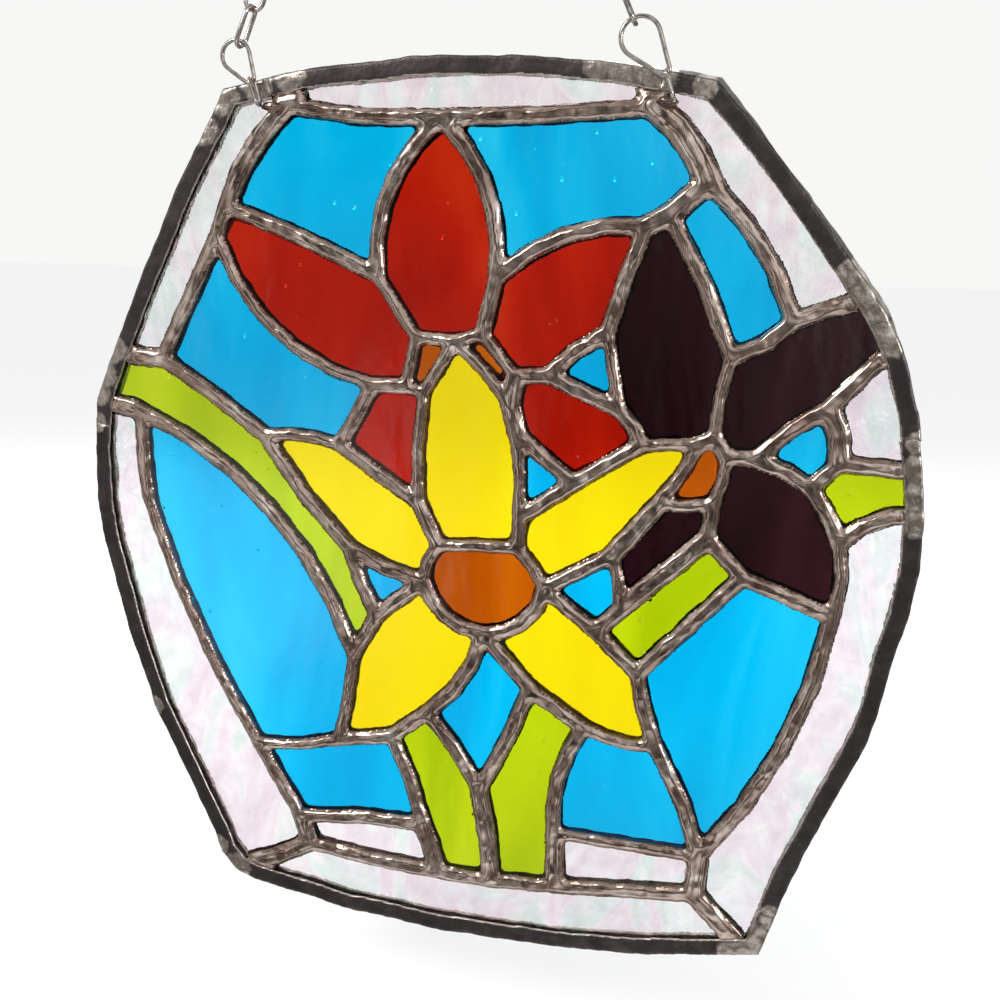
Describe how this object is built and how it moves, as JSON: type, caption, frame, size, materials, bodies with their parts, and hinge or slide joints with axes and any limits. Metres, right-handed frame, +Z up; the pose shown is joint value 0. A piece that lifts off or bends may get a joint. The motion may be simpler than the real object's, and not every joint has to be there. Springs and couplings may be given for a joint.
{
  "type": "hanging stained glass panel",
  "caption": "Stained glass panel of flowers on a blue ground in a lead edge, hung by chains from one ring.",
  "frame": {"origin": "the inside of the top ring's highest point, where a hook bears", "axes": "+Z up, the panel hangs in the XZ plane, its front faces -Y"},
  "size_m": [0.2414, 0.0111, 0.3953],
  "materials": {
    "glass_blue": "glossy, lightly wavy art glass",
    "glass_red": "glossy, lightly wavy art glass",
    "glass_yellow": "glossy, lightly wavy art glass",
    "glass_orange": "glossy, lightly wavy art glass",
    "glass_purple": "glossy, lightly wavy art glass",
    "glass_green": "glossy, lightly wavy art glass",
    "glass_clear": "glossy, lightly wavy art glass",
    "solder": "bright lumpy tin-lead solder, tarnished brown-grey in the hollows",
    "lead_came": "dull dark grey lead with silvery rubbed stretches",
    "steel_wire": "bright tinned wire"
  },
  "bodies": {
    "root": {"blue_chip_left": "glass_blue", "blue_chip_middle": "glass_blue", "blue_chip_right": "glass_blue", "blue_chip_side": "glass_blue", "blue_chip_upper": "glass_blue", "blue_field_left": "glass_blue", "blue_field_right": "glass_blue", "blue_foot_left": "glass_blue", "blue_foot_right": "glass_blue", "blue_sky_left": "glass_blue", "blue_sky_top_left": "glass_blue", "blue_sky_top_right": "glass_blue", "blue_strip_right": "glass_blue", "blue_wedge": "glass_blue", "came_bottom": "lead_came", "came_left_high": "lead_came", "came_right_high": "lead_came", "came_right_low": "lead_came", "came_top": "lead_came", "chain_left": "steel_wire", "chain_right": "steel_wire", "clear_edge_bottom": "glass_clear", "clear_edge_left_high": "glass_clear", "clear_edge_left_low": "glass_clear", "clear_edge_right_high": "glass_clear", "clear_edge_right_low": "glass_clear", "clear_edge_right_mid": "glass_clear", "clear_edge_top": "glass_clear", "clear_foot_left": "glass_clear", "clear_foot_right": "glass_clear", "green_leaf_left": "glass_green", "green_leaf_middle": "glass_green", "green_leaf_right": "glass_green", "green_stem_left": "glass_green", "green_stem_right": "glass_green", "orange_centre": "glass_orange", "orange_heart_left": "glass_orange", "orange_heart_right": "glass_orange", "orange_purple_heart": "glass_orange", "purple_petal_low": "glass_purple", "purple_petal_right": "glass_purple", "purple_petal_small": "glass_purple", "purple_petal_top": "glass_purple", "red_petal_left": "glass_red", "red_petal_low_left": "glass_red", "red_petal_low_right": "glass_red", "red_petal_right": "glass_red", "red_petal_top": "glass_red", "small_ring_left": "steel_wire", "small_ring_right": "steel_wire", "solder_lines": "solder", "top_ring": "steel_wire", "wire_eye_left": "steel_wire", "wire_eye_right": "steel_wire", "yellow_petal_left": "glass_yellow", "yellow_petal_low_left": "glass_yellow", "yellow_petal_low_right": "glass_yellow", "yellow_petal_right": "glass_yellow", "yellow_petal_top": "glass_yellow"}
  },
  "joints": []
}
